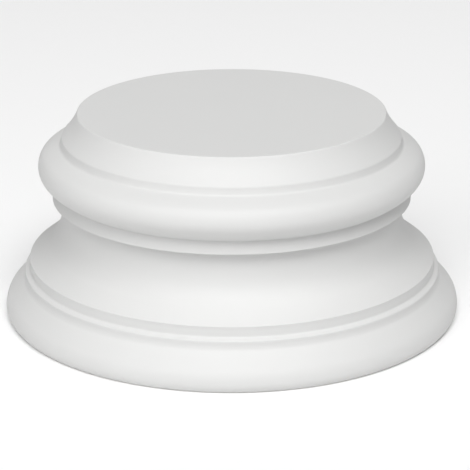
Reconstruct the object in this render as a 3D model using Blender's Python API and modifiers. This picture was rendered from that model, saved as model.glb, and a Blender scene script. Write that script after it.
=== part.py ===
"""A turned column base: apophyge, upper torus, scotia and lower torus, cast in one piece.

The piece stands on its flat underside, with its axis on +Z and the shaft's seat on top.
Its outline runs from the shaft's seat down to the floor, one moulding after the other.
A run is how far a stretch goes outward, or inward where it is taken off, and a drop is
how far it goes down. Slopes are in degrees below the horizontal: 0 heads outward,
90 straight down and 180 inward.
"""

import math

import bpy

TURN_STEPS = 92
SHARP_EDGE = 22
WELD_DISTANCE = 0.00005

SHAFT_SEAT_RADIUS = 0.1100

APOPHYGE_RUN = 0.0113
APOPHYGE_DROP = 0.0175
APOPHYGE_START = 70
APOPHYGE_FLARE = 47
UPPER_FILLET_RUN = 0.0012
UPPER_FILLET_DROP = 0.0054
UPPER_FILLET_END = 68

UPPER_SHOULDER_RUN = 0.0112
UPPER_SHOULDER_DROP = 0.0054
UPPER_SHOULDER_START = 22
UPPER_SHOULDER_END = 33
UPPER_BROW_RUN = 0.0047
UPPER_BROW_DROP = 0.0099
UPPER_BELLY_RUN = 0.0120
UPPER_BELLY_DROP = 0.0149
UPPER_BELLY_END = 154
NECK_FILLET_RUN = 0.0025
NECK_FILLET_DROP = 0.0089

SCOTIA_SOFFIT_RUN = 0.0031
SCOTIA_BEND_RUN = 0.0036
SCOTIA_BEND_DROP = 0.0039
SCOTIA_NECK_DROP = 0.0037
SCOTIA_SWEEP_RUN = 0.0108
SCOTIA_SWEEP_DROP = 0.0262
SCOTIA_FLANK_RUN = 0.0135
SCOTIA_FLANK_DROP = 0.0107
SCOTIA_FLANK_START = 41
SCOTIA_FLANK_END = 36

LIP_FACE_DROP = 0.0068
LISTEL_COVE_RUN = 0.0019
LISTEL_COVE_DROP = 0.0013
LISTEL_COVE_END = 30
LISTEL_EDGE_RUN = 0.0019
LISTEL_EDGE_DROP = 0.0012
LISTEL_FACE_DROP = 0.0016
LISTEL_HOLLOW_RUN = 0.0010
LISTEL_HOLLOW_DROP = 0.0043
LISTEL_HOLLOW_END = 60

LOWER_SHOULDER_RUN = 0.0097
LOWER_SHOULDER_DROP = 0.0101
LOWER_SHOULDER_START = 45
LOWER_SHOULDER_END = 48
LOWER_BROW_RUN = 0.0035
LOWER_BROW_DROP = 0.0096
LOWER_BELLY_RUN = 0.0030
LOWER_BELLY_DROP = 0.0060
LOWER_BELLY_END = 142

DOWN = 90
INWARD = 180


class Profile:
    """The outline of the turned piece as (radius, depth below the shaft's seat)."""

    def __init__(self, seat_radius):
        self.points = [(0.0, 0.0), (seat_radius, 0.0)]

    def line(self, run, drop):
        """Goes on in a straight stretch."""
        radius, depth = self.points[-1]
        self.points.append((radius + run, depth + drop))

    def sweep(self, run, drop, start, end, chords):
        """Goes on in a curve that leaves and arrives at the given slopes."""
        x0, y0 = self.points[-1]
        x3, y3 = x0 + run, y0 + drop
        leave, arrive = math.radians(start), math.radians(end)
        handle = math.hypot(run, drop) / (3 * math.cos((arrive - leave) / 4) ** 2)
        x1, y1 = x0 + handle * math.cos(leave), y0 + handle * math.sin(leave)
        x2, y2 = x3 - handle * math.cos(arrive), y3 - handle * math.sin(arrive)
        for step in range(1, chords + 1):
            t = step / chords
            a, b, c, d = (1 - t) ** 3, 3 * t * (1 - t) ** 2, 3 * t ** 2 * (1 - t), t ** 3
            self.points.append((a * x0 + b * x1 + c * x2 + d * x3, a * y0 + b * y1 + c * y2 + d * y3))

    def coordinates(self):
        """The outline in the plane of +X, with its foot at height 0."""
        foot = self.points[-1][1]
        return [(x, 0.0, foot - y) for x, y in self.points + [(0.0, foot)]]


def draw_apophyge(profile):
    """The hollow flare under the shaft, and the small fillet at its foot."""
    profile.sweep(APOPHYGE_RUN, APOPHYGE_DROP, APOPHYGE_START, APOPHYGE_FLARE, chords=5)
    profile.sweep(UPPER_FILLET_RUN, UPPER_FILLET_DROP, DOWN, UPPER_FILLET_END, chords=2)


def draw_upper_torus(profile):
    """A flat shoulder, a round brow, the belly under it, and the fillet at the neck."""
    profile.sweep(
        UPPER_SHOULDER_RUN, UPPER_SHOULDER_DROP, UPPER_SHOULDER_START, UPPER_SHOULDER_END, chords=3
    )
    profile.sweep(UPPER_BROW_RUN, UPPER_BROW_DROP, UPPER_SHOULDER_END, DOWN, chords=5)
    profile.sweep(-UPPER_BELLY_RUN, UPPER_BELLY_DROP, DOWN, UPPER_BELLY_END, chords=6)
    profile.line(NECK_FILLET_RUN, NECK_FILLET_DROP)


def draw_scotia(profile):
    """The soffit under the neck fillet, the hollow neck, and the long flank to the lip."""
    profile.line(-SCOTIA_SOFFIT_RUN, 0)
    profile.sweep(-SCOTIA_BEND_RUN, SCOTIA_BEND_DROP, INWARD, DOWN, chords=3)
    profile.line(0, SCOTIA_NECK_DROP)
    profile.sweep(SCOTIA_SWEEP_RUN, SCOTIA_SWEEP_DROP, DOWN, SCOTIA_FLANK_START, chords=5)
    profile.sweep(SCOTIA_FLANK_RUN, SCOTIA_FLANK_DROP, SCOTIA_FLANK_START, SCOTIA_FLANK_END, chords=2)


def draw_listel(profile):
    """The lip's short face, a small cove, the round-edged listel, and the hollow at its foot."""
    profile.line(0, LIP_FACE_DROP)
    profile.sweep(LISTEL_COVE_RUN, LISTEL_COVE_DROP, DOWN, LISTEL_COVE_END, chords=2)
    profile.sweep(LISTEL_EDGE_RUN, LISTEL_EDGE_DROP, LISTEL_COVE_END, DOWN, chords=3)
    profile.line(0, LISTEL_FACE_DROP)
    profile.sweep(LISTEL_HOLLOW_RUN, LISTEL_HOLLOW_DROP, DOWN, LISTEL_HOLLOW_END, chords=2)


def draw_lower_torus(profile):
    """A sloping shoulder, the brow down to the widest ring, and the belly to the floor."""
    profile.sweep(
        LOWER_SHOULDER_RUN, LOWER_SHOULDER_DROP, LOWER_SHOULDER_START, LOWER_SHOULDER_END, chords=2
    )
    profile.sweep(LOWER_BROW_RUN, LOWER_BROW_DROP, LOWER_SHOULDER_END, DOWN, chords=4)
    profile.sweep(-LOWER_BELLY_RUN, LOWER_BELLY_DROP, DOWN, LOWER_BELLY_END, chords=3)


def base_outline():
    """The whole outline, from the centre of the top to the centre of the underside."""
    profile = Profile(SHAFT_SEAT_RADIUS)
    draw_apophyge(profile)
    draw_upper_torus(profile)
    draw_scotia(profile)
    draw_listel(profile)
    draw_lower_torus(profile)
    return profile.coordinates()


def primed_white():
    """Smooth moulded foam under a matt white primer."""
    material = bpy.data.materials.new("primed_white")
    material.use_nodes = True
    shader = material.node_tree.nodes["Principled BSDF"]
    shader.inputs["Base Color"].default_value = (0.67, 0.67, 0.66, 1.0)
    shader.inputs["Roughness"].default_value = 0.62
    shader.inputs["Metallic"].default_value = 0.0
    return material


def turned_mesh(name, outline):
    """The outline turned about Z by a Screw modifier, as a mesh that is shaded smooth."""
    drawing = bpy.data.meshes.new(name + "_outline")
    drawing.from_pydata(outline, [(i, i + 1) for i in range(len(outline) - 1)], [])
    turned = bpy.data.objects.new(name + "_outline", drawing)
    bpy.context.scene.collection.objects.link(turned)
    screw = turned.modifiers.new("turn", 'SCREW')
    screw.steps = TURN_STEPS
    screw.render_steps = TURN_STEPS
    screw.use_merge_vertices = True
    screw.merge_threshold = WELD_DISTANCE
    evaluated = turned.evaluated_get(bpy.context.evaluated_depsgraph_get())
    mesh = bpy.data.meshes.new_from_object(evaluated)
    bpy.data.objects.remove(turned)
    mesh.name = name
    mesh.shade_smooth()
    mesh.set_sharp_from_angle(angle=math.radians(SHARP_EDGE))
    return mesh


def clear_scene():
    """Removes what the file opens with."""
    for item in list(bpy.data.objects):
        bpy.data.objects.remove(item)


def build():
    """Makes the column base in its own collection."""
    clear_scene()
    collection = bpy.data.collections.new("turned_column_base")
    bpy.context.scene.collection.children.link(collection)
    mesh = turned_mesh("column_base", base_outline())
    mesh.materials.append(primed_white())
    collection.objects.link(bpy.data.objects.new("column_base", mesh))


build()
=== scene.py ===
"""A turned column base in matt white primer, standing on a pale studio floor.

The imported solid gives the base's box. The base is turned again here from the same outline
with far more steps, its arrises eased and its inner corners filled as a primer coat does,
and then dressed. Lengths are in metres and slopes in degrees below the horizontal: 0 heads
outward, 90 straight down and 180 inward.
"""

import logging
import math
from dataclasses import dataclass, field
from enum import Enum
from typing import Any, Mapping, Sequence, Union

import bpy
from mathutils import Euler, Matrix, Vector


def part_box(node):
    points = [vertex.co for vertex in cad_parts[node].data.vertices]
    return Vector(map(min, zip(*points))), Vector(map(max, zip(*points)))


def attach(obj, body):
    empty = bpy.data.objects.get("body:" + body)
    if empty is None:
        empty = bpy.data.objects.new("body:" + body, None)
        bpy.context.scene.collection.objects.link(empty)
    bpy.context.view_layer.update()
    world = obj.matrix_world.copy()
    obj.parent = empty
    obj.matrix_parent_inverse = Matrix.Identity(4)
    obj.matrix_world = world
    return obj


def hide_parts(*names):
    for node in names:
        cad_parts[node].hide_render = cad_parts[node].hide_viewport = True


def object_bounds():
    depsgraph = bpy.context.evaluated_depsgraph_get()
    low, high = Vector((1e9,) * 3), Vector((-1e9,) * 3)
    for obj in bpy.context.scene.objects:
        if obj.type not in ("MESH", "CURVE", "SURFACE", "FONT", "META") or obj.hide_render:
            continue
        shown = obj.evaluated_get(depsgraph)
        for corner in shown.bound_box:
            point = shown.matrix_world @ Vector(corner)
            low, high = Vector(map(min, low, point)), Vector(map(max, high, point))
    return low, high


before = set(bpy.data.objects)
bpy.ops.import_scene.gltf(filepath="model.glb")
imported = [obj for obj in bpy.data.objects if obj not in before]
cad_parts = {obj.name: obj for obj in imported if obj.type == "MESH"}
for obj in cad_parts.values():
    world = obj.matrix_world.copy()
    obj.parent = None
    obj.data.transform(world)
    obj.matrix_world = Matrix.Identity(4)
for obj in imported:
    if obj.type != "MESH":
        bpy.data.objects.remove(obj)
CAD_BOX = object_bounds()

LOG = logging.getLogger("column_base")
WELD = 0.00001
DOWN = 90.0
INWARD = 180.0


class Corner(Enum):
    """How far the rounding of a corner reaches along both of its sides."""

    CRISP = 0.00035
    EASED = 0.0008
    FILLED = 0.0016


class Outline:
    """A line of edges in the plane of +X, drawn from one vertex by extruding it."""

    CHORD = 0.0010
    SEAT_CHORD = 0.0150
    ROUNDING_STEPS = 4
    ROUND_PROFILE = 0.5
    FLAT_FACE_WEIGHT = 100

    def __init__(self, name: str, height: float) -> None:
        """Starts the line on the axis.

        Args:
            name: The piece's name.
            height: The height at which the line starts.
        """
        bpy.ops.object.select_all(action='DESELECT')
        bpy.ops.mesh.primitive_plane_add(size=self.CHORD, location=(0.0, 0.0, height))
        bpy.ops.object.transform_apply(location=True, rotation=True, scale=True)
        self.piece = bpy.context.active_object
        self.piece.name = name
        self.piece.data.name = name
        self.tip = Vector((0.0, 0.0, height))
        self.corners: dict[Corner, list[Vector]] = {kind: [] for kind in Corner}
        bpy.ops.object.mode_set(mode='EDIT')
        bpy.ops.mesh.merge(type='CENTER')

    def _extrude_to(self, radius: float, height: float) -> None:
        """Extrudes the last vertex to a new place.

        Args:
            radius: The new vertex's distance from the axis.
            height: The new vertex's height.
        """
        place = Vector((radius, 0.0, height))
        bpy.ops.mesh.extrude_region_move(TRANSFORM_OT_translate={"value": place - self.tip})
        self.tip = place

    def corner(self, kind: Corner) -> None:
        """Marks the line's last vertex as a corner of the given kind."""
        self.corners[kind].append(self.tip.copy())

    def line(self, run: float, drop: float, chord: float = CHORD) -> None:
        """Draws a straight stretch.

        Args:
            run: How far it goes outward.
            drop: How far it goes down.
            chord: The length of its edges, at most.
        """
        start = self.tip.copy()
        count = math.ceil(math.hypot(run, drop) / chord)
        for step in range(1, count + 1):
            share = step / count
            self._extrude_to(start.x + run * share, start.z - drop * share)

    def sweep(self, run: float, drop: float, start_slope: float, end_slope: float) -> None:
        """Draws a curved stretch.

        Args:
            run: How far it goes outward.
            drop: How far it goes down.
            start_slope: The slope at which it leaves.
            end_slope: The slope at which it arrives.
        """
        start = self.tip.copy()
        leave, arrive = math.radians(start_slope), math.radians(end_slope)
        span = math.hypot(run, drop)
        handle = span / (3 * math.cos((arrive - leave) / 4) ** 2)
        first = start + Vector((math.cos(leave), 0.0, -math.sin(leave))) * handle
        end = start + Vector((run, 0.0, -drop))
        second = end - Vector((math.cos(arrive), 0.0, -math.sin(arrive))) * handle
        count = math.ceil(span / self.CHORD)
        for step in range(1, count + 1):
            t = step / count
            place = (
                start * (1 - t) ** 3
                + first * (3 * t * (1 - t) ** 2)
                + second * (3 * t**2 * (1 - t))
                + end * t**3
            )
            self._extrude_to(place.x, place.z)

    def round_corners(self) -> None:
        """Bevels the vertices that were marked as corners, kind by kind."""
        for kind, places in self.corners.items():
            bpy.ops.mesh.select_all(action='DESELECT')
            bpy.ops.object.mode_set(mode='OBJECT')
            for vertex in self.piece.data.vertices:
                vertex.select = any((vertex.co - place).length < WELD for place in places)
            bpy.ops.object.mode_set(mode='EDIT')
            bpy.ops.mesh.bevel(
                affect='VERTICES',
                offset=kind.value,
                segments=self.ROUNDING_STEPS,
                profile=self.ROUND_PROFILE,
                clamp_overlap=True,
            )

    def turn(self, steps: int) -> bpy.types.Object:
        """Spins the line about the upright axis and closes it into a solid piece.

        Args:
            steps: How many steps a full turn has.

        Returns:
            The turned piece, shaded smooth, with its flat faces kept flat.
        """
        bpy.ops.mesh.select_all(action='SELECT')
        bpy.ops.mesh.spin(steps=steps, angle=math.tau, center=(0.0, 0.0, 0.0), axis=(0.0, 0.0, 1.0))
        bpy.ops.mesh.select_all(action='SELECT')
        bpy.ops.mesh.remove_doubles(threshold=WELD)
        bpy.ops.mesh.normals_make_consistent(inside=False)
        bpy.ops.object.mode_set(mode='OBJECT')
        bpy.ops.object.shade_smooth()
        weighting = self.piece.modifiers.new("even_shading", 'WEIGHTED_NORMAL')
        weighting.weight = self.FLAT_FACE_WEIGHT
        bpy.ops.object.modifier_apply(modifier=weighting.name)
        return self.piece


@dataclass
class Apophyge:
    """The hollow flare under the shaft, and the small fillet at its foot."""

    run: float = 0.0113
    drop: float = 0.0175
    start: float = 70.0
    flare: float = 47.0
    fillet_run: float = 0.0012
    fillet_drop: float = 0.0054
    fillet_end: float = 68.0

    def draw(self, outline: Outline) -> None:
        """Draws it from the seat's rim down."""
        outline.corner(Corner.EASED)
        outline.sweep(self.run, self.drop, self.start, self.flare)
        outline.corner(Corner.EASED)
        outline.sweep(self.fillet_run, self.fillet_drop, DOWN, self.fillet_end)


@dataclass
class UpperTorus:
    """A flat shoulder, a round brow, the belly under it, and the fillet at the neck."""

    shoulder_run: float = 0.0112
    shoulder_drop: float = 0.0054
    shoulder_start: float = 22.0
    shoulder_end: float = 33.0
    brow_run: float = 0.0047
    brow_drop: float = 0.0099
    belly_run: float = 0.0120
    belly_drop: float = 0.0149
    belly_end: float = 154.0
    fillet_run: float = 0.0025
    fillet_drop: float = 0.0089

    def draw(self, outline: Outline) -> None:
        """Draws it from the small fillet's foot down."""
        outline.corner(Corner.FILLED)
        outline.sweep(self.shoulder_run, self.shoulder_drop, self.shoulder_start, self.shoulder_end)
        outline.sweep(self.brow_run, self.brow_drop, self.shoulder_end, DOWN)
        outline.sweep(-self.belly_run, self.belly_drop, DOWN, self.belly_end)
        outline.line(self.fillet_run, self.fillet_drop)


@dataclass
class Scotia:
    """The soffit under the neck fillet, the hollow neck, and the long flank to the lip."""

    soffit_run: float = 0.0031
    bend_run: float = 0.0036
    bend_drop: float = 0.0039
    neck_drop: float = 0.0037
    sweep_run: float = 0.0108
    sweep_drop: float = 0.0262
    flank_run: float = 0.0135
    flank_drop: float = 0.0107
    flank_start: float = 41.0
    flank_end: float = 36.0

    def draw(self, outline: Outline) -> None:
        """Draws it from the neck fillet's foot to the lip."""
        outline.corner(Corner.CRISP)
        outline.line(-self.soffit_run, 0.0)
        outline.sweep(-self.bend_run, self.bend_drop, INWARD, DOWN)
        outline.line(0.0, self.neck_drop)
        outline.sweep(self.sweep_run, self.sweep_drop, DOWN, self.flank_start)
        outline.sweep(self.flank_run, self.flank_drop, self.flank_start, self.flank_end)


@dataclass
class Listel:
    """The lip's short face, a small cove, the round-edged listel, and the hollow at its foot."""

    lip_drop: float = 0.0068
    lip_start: float = 102.0
    cove_run: float = 0.0019
    cove_drop: float = 0.0013
    cove_end: float = 30.0
    edge_run: float = 0.0019
    edge_drop: float = 0.0012
    face_drop: float = 0.0016
    hollow_run: float = 0.0010
    hollow_drop: float = 0.0043
    hollow_end: float = 60.0

    def draw(self, outline: Outline) -> None:
        """Draws it from the lip down."""
        outline.corner(Corner.CRISP)
        outline.sweep(0.0, self.lip_drop, self.lip_start, DOWN)
        outline.sweep(self.cove_run, self.cove_drop, DOWN, self.cove_end)
        outline.sweep(self.edge_run, self.edge_drop, self.cove_end, DOWN)
        outline.line(0.0, self.face_drop)
        outline.sweep(self.hollow_run, self.hollow_drop, DOWN, self.hollow_end)


@dataclass
class LowerTorus:
    """A sloping shoulder, the brow down to the widest ring, and the belly to the floor."""

    shoulder_run: float = 0.0097
    shoulder_drop: float = 0.0101
    shoulder_start: float = 45.0
    shoulder_end: float = 48.0
    brow_run: float = 0.0035
    brow_drop: float = 0.0096
    belly_run: float = 0.0030
    belly_drop: float = 0.0060
    belly_end: float = 142.0

    def draw(self, outline: Outline) -> None:
        """Draws it from the listel's foot to the floor."""
        outline.sweep(self.shoulder_run, self.shoulder_drop, self.shoulder_start, self.shoulder_end)
        outline.sweep(self.brow_run, self.brow_drop, self.shoulder_end, DOWN)
        outline.sweep(-self.belly_run, self.belly_drop, DOWN, self.belly_end)
        outline.corner(Corner.CRISP)


Signal = Union["Wire", float]


class Wire:
    """A node's output that takes part in sums as a number does."""

    def __init__(self, bench: "ShaderBench", socket: bpy.types.NodeSocket) -> None:
        """Wraps an output socket of a material's nodes."""
        self.bench = bench
        self.socket = socket

    def _math(self, operation: str, first: Signal, second: Signal) -> "Wire":
        """Adds the Math node of one operation.

        Args:
            operation: The node's operation.
            first: Its first value.
            second: Its second value.

        Returns:
            The node's output.
        """
        return self.bench.add("ShaderNodeMath", {"operation": operation}, {0: first, 1: second})

    def __add__(self, other: Signal) -> "Wire":
        """Returns self + other."""
        return self._math('ADD', self, other)

    def __radd__(self, other: Signal) -> "Wire":
        """Returns other + self."""
        return self._math('ADD', other, self)

    def __mul__(self, other: Signal) -> "Wire":
        """Returns self * other."""
        return self._math('MULTIPLY', self, other)

    def __rmul__(self, other: Signal) -> "Wire":
        """Returns other * self."""
        return self._math('MULTIPLY', other, self)

    def below(self, limit: float) -> "Wire":
        """Returns 1 where the value is under the limit, and 0 elsewhere."""
        return self._math('LESS_THAN', self, limit)


class ShaderBench:
    """The nodes of one new material."""

    LAYER_STRENGTH = 0.55

    def __init__(self, name: str) -> None:
        """Makes a material with one surface shader.

        Args:
            name: The material's name.
        """
        self.material = bpy.data.materials.new(name)
        self.material.use_nodes = True
        self.nodes = self.material.node_tree.nodes
        self.links = self.material.node_tree.links
        self.surface = self.nodes["Principled BSDF"]

    def feed(self, socket: bpy.types.NodeSocket, value: Any) -> None:
        """Links a wire to a socket, or sets the socket's own value."""
        if isinstance(value, Wire):
            self.links.new(value.socket, socket)
        else:
            socket.default_value = value

    def add(
        self,
        kind: str,
        settings: Mapping[str, Any],
        inputs: Mapping[Union[int, str], Any],
        output: Union[int, str] = 0,
    ) -> Wire:
        """Adds one node.

        Args:
            kind: The node's type.
            settings: The node's own properties; "stops" are a ramp's (place, grey) pairs.
            inputs: The values or wires of its sockets, by index or name.
            output: The output socket to return.

        Returns:
            The chosen output.
        """
        node = self.nodes.new(kind)
        for name, value in settings.items():
            if name == "stops":
                for element, (place, grey) in zip(node.color_ramp.elements, value):
                    element.position = place
                    element.color = (grey, grey, grey, 1.0)
            else:
                setattr(node, name, value)
        for key, value in inputs.items():
            self.feed(node.inputs[key], value)
        return Wire(self, node.outputs[output])

    def noise(self, place: Wire, per_metre: float, detail: float = 2.0) -> Wire:
        """Adds a soft noise.

        Args:
            place: The coordinates that it reads.
            per_metre: How many waves it has in a metre.
            detail: How many finer layers it has.

        Returns:
            Its value, about 0.5 on average.
        """
        scales = {"Scale": per_metre, "Detail": detail, "Roughness": self.LAYER_STRENGTH}
        return self.add("ShaderNodeTexNoise", {}, {"Vector": place, **scales})

    def blend(self, share: Signal, first: Any, second: Any) -> Wire:
        """Mixes two colours.

        Args:
            share: How much of the second colour shows.
            first: The first colour.
            second: The second colour.

        Returns:
            The mixed colour.
        """
        settings = {"data_type": 'RGBA'}
        return self.add("ShaderNodeMix", settings, {0: share, 6: first, 7: second}, output=2)

    def dress(self, sockets: Mapping[str, Any]) -> bpy.types.Material:
        """Feeds the surface shader.

        Args:
            sockets: The values or wires of the shader's sockets, by name.

        Returns:
            The finished material.
        """
        for name, value in sockets.items():
            self.feed(self.surface.inputs[name], value)
        return self.material


Colour = tuple[float, float, float, float]


@dataclass(frozen=True)
class PrimedWhite:
    """A thin matt primer sprayed on smooth moulded foam, with the trimmed foam underneath."""

    name: str = "primed_white_coat"
    coat: Colour = (0.652, 0.652, 0.645, 1.0)
    thin_coat: Colour = (0.628, 0.629, 0.624, 1.0)
    trimmed_foam: Colour = (0.640, 0.626, 0.580, 1.0)
    trimmed_depth: float = 0.0004
    cloud_waves: float = 16.0
    cloud_detail: float = 3.0
    cloud_cover: float = 0.7
    speckle_waves: float = 900.0
    speckle_cover: float = 0.3
    roughness: float = 0.52
    cloud_roughness: float = 0.08
    grain_roughness: float = 0.06
    foam_roughness: float = 0.25
    relief_height: float = 0.000012
    peel_waves: float = 420.0
    peel_relief: float = 0.7
    grain_waves: float = 2200.0
    grain_relief: float = 0.3
    foam_relief: float = 4.0
    pit_cells: float = 95.0
    pit_floor: float = 0.012
    pit_rim: float = 0.026
    pit_relief: float = 6.0

    def make(self) -> bpy.types.Material:
        """Returns the material, with its colour, sheen and relief."""
        bench = ShaderBench(self.name)
        place = bench.add("ShaderNodeTexCoord", {}, {}, output="Object")
        height = bench.add("ShaderNodeSeparateXYZ", {}, {0: place}, output="Z")
        cloud = bench.noise(place, self.cloud_waves, self.cloud_detail)
        speckle = bench.noise(place, self.speckle_waves)
        peel = bench.noise(place, self.peel_waves)
        grain = bench.noise(place, self.grain_waves)
        underside = height.below(self.trimmed_depth)
        cover = cloud * self.cloud_cover + speckle * self.speckle_cover
        coated = bench.blend(cover, self.thin_coat, self.coat)
        colour = bench.blend(underside, coated, self.trimmed_foam)
        roughness = self.roughness + cloud * self.cloud_roughness + grain * self.grain_roughness
        roughness = roughness + underside * self.foam_roughness
        relief = peel * self.peel_relief + grain * self.grain_relief
        relief = relief + underside * speckle * self.foam_relief + self.pits(bench, place)
        bump = {"Strength": 1.0, "Distance": self.relief_height, "Height": relief}
        normal = bench.add("ShaderNodeBump", {}, bump)
        return bench.dress({"Base Color": colour, "Roughness": roughness, "Normal": normal})

    def pits(self, bench: ShaderBench, place: Wire) -> Wire:
        """Adds the few pinholes that air leaves in a casting.

        Args:
            bench: The material's nodes.
            place: The coordinates that they read.

        Returns:
            Their depth, from 0 on the plain surface down to a negative value.
        """
        inputs = {"Vector": place, "Scale": self.pit_cells}
        distance = bench.add("ShaderNodeTexVoronoi", {"feature": 'F1'}, inputs, output="Distance")
        stops = [(self.pit_floor, 1.0), (self.pit_rim, 0.0)]
        pit = bench.add("ShaderNodeValToRGB", {"stops": stops}, {0: distance})
        return pit * -self.pit_relief


@dataclass
class ColumnBase:
    """The whole base: its mouldings from the shaft's seat down to the floor, in one casting."""

    name: str = "column_base_casting"
    seat_radius: float = 0.1100
    turn_steps: int = 256
    apophyge: Apophyge = field(default_factory=Apophyge)
    upper_torus: UpperTorus = field(default_factory=UpperTorus)
    scotia: Scotia = field(default_factory=Scotia)
    listel: Listel = field(default_factory=Listel)
    lower_torus: LowerTorus = field(default_factory=LowerTorus)
    finish: PrimedWhite = field(default_factory=PrimedWhite)

    def build(self, node: str) -> bpy.types.Object:
        """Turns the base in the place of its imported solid, and dresses it.

        Args:
            node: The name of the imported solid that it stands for.

        Returns:
            The base.
        """
        low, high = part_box(node)
        outline = Outline(self.name, high.z)
        outline.line(self.seat_radius, 0.0, Outline.SEAT_CHORD)
        for moulding in (self.apophyge, self.upper_torus, self.scotia, self.listel, self.lower_torus):
            moulding.draw(outline)
        outline.line(-outline.tip.x, outline.tip.z - low.z, Outline.SEAT_CHORD)
        outline.round_corners()
        piece = outline.turn(self.turn_steps)
        piece.data.materials.append(self.finish.make())
        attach(piece, "root")
        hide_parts(node)
        return piece


@dataclass(frozen=True)
class SoftBox:
    """A square studio light that faces the base."""

    name: str
    azimuth: float
    elevation: float
    power: float
    distance: float = 7.2
    width: float = 4.8

    def hang(self, aim: Vector) -> bpy.types.Object:
        """Hangs the light.

        Args:
            aim: The point that it faces.

        Returns:
            The light's object.
        """
        lamp = bpy.data.lights.new(self.name, 'AREA')
        lamp.shape = 'SQUARE'
        lamp.size = self.width
        lamp.energy = self.power
        item = bpy.data.objects.new(self.name, lamp)
        turn, lift = math.radians(self.azimuth), math.radians(self.elevation)
        back = Vector((math.sin(turn) * math.cos(lift), -math.cos(turn) * math.cos(lift), math.sin(lift)))
        item.location = aim + back * self.distance
        item.rotation_euler = back.to_track_quat('Z', 'Y').to_euler()
        bpy.context.scene.collection.objects.link(item)
        return item


@dataclass
class Studio:
    """A plain pale floor, soft light from the front and above, and pale surroundings."""

    floor_size: float = 24.0
    floor_white: Colour = (0.89, 0.89, 0.89, 1.0)
    floor_glow: float = 0.02
    surroundings_white: Colour = (1.0, 1.0, 1.0, 1.0)
    surroundings: float = 0.14
    boxes: tuple[SoftBox, ...] = (
        SoftBox("key_light", azimuth=0.0, elevation=45.0, power=153.0),
        SoftBox("high_light", azimuth=0.0, elevation=60.0, power=267.0),
        SoftBox("right_light", azimuth=45.0, elevation=60.0, power=124.0),
        SoftBox("left_light", azimuth=-45.0, elevation=30.0, power=123.0),
        SoftBox("back_light", azimuth=180.0, elevation=40.0, power=61.0),
    )

    def lay_floor(self, height: float) -> bpy.types.Object:
        """Lays the floor.

        Args:
            height: The height at which the base stands.

        Returns:
            The floor, which is no part of the base.
        """
        bpy.ops.object.select_all(action='DESELECT')
        bpy.ops.mesh.primitive_plane_add(size=self.floor_size, location=(0.0, 0.0, height))
        floor = bpy.context.active_object
        floor.name = "studio_floor"
        bench = ShaderBench("studio_floor_white")
        floor.data.materials.append(
            bench.dress(
                {
                    "Base Color": self.floor_white,
                    "Roughness": 1.0,
                    "Specular IOR Level": 0.0,
                    "Emission Color": self.floor_white,
                    "Emission Strength": self.floor_glow,
                }
            )
        )
        return floor

    def light(self, aim: Vector) -> None:
        """Hangs the lights and sets the surroundings.

        Args:
            aim: The point that the lights face.
        """
        for box in self.boxes:
            box.hang(aim)
        world = bpy.data.worlds.new("studio_surroundings")
        world.use_nodes = True
        surroundings = world.node_tree.nodes["Background"]
        surroundings.inputs["Color"].default_value = self.surroundings_white
        surroundings.inputs["Strength"].default_value = self.surroundings
        bpy.context.scene.world = world
        bpy.context.scene.view_settings.view_transform = 'Standard'


@dataclass(frozen=True)
class PhotoCamera:
    """A camera that stands where the photograph was taken from."""

    pitch: float = 19.916
    distance: float = 1.5261
    aim_height: float = 0.0528
    aim_side: float = 0.0023
    roll: float = 0.08
    focal_pixels: float = 2099.4
    frame_pixels: float = 470.0
    sensor_width: float = 36.0

    def stand(self) -> bpy.types.Object:
        """Returns the camera, set up as the scene's own."""
        data = bpy.data.cameras.new("photo_camera")
        data.sensor_width = self.sensor_width
        data.lens = self.focal_pixels / self.frame_pixels * self.sensor_width
        camera = bpy.data.objects.new("photo_camera", data)
        lift = math.radians(self.pitch)
        aim = Vector((self.aim_side, 0.0, self.aim_height))
        back = Vector((0.0, -math.cos(lift), math.sin(lift)))
        camera.location = aim + back * self.distance
        tilt = Euler((math.pi / 2 - lift, 0.0, 0.0)).to_matrix()
        roll = Euler((0.0, 0.0, math.radians(-self.roll))).to_matrix()
        camera.rotation_euler = (tilt @ roll).to_euler()
        bpy.context.scene.collection.objects.link(camera)
        bpy.context.scene.camera = camera
        return camera


def main() -> None:
    """Builds the base, the studio around it and the camera."""
    logging.basicConfig(level=logging.INFO, format="%(message)s")
    piece = ColumnBase().build("column_base")
    LOG.info("%s: %d faces", piece.name, len(piece.data.polygons))
    low, high = CAD_BOX
    studio = Studio()
    floor = studio.lay_floor(low.z)
    LOG.info("%s at %.4f m", floor.name, low.z)
    studio.light((low + high) / 2)
    camera = PhotoCamera().stand()
    LOG.info("%s with a %.1f mm lens", camera.name, camera.data.lens)


if __name__ == "__main__":
    main()
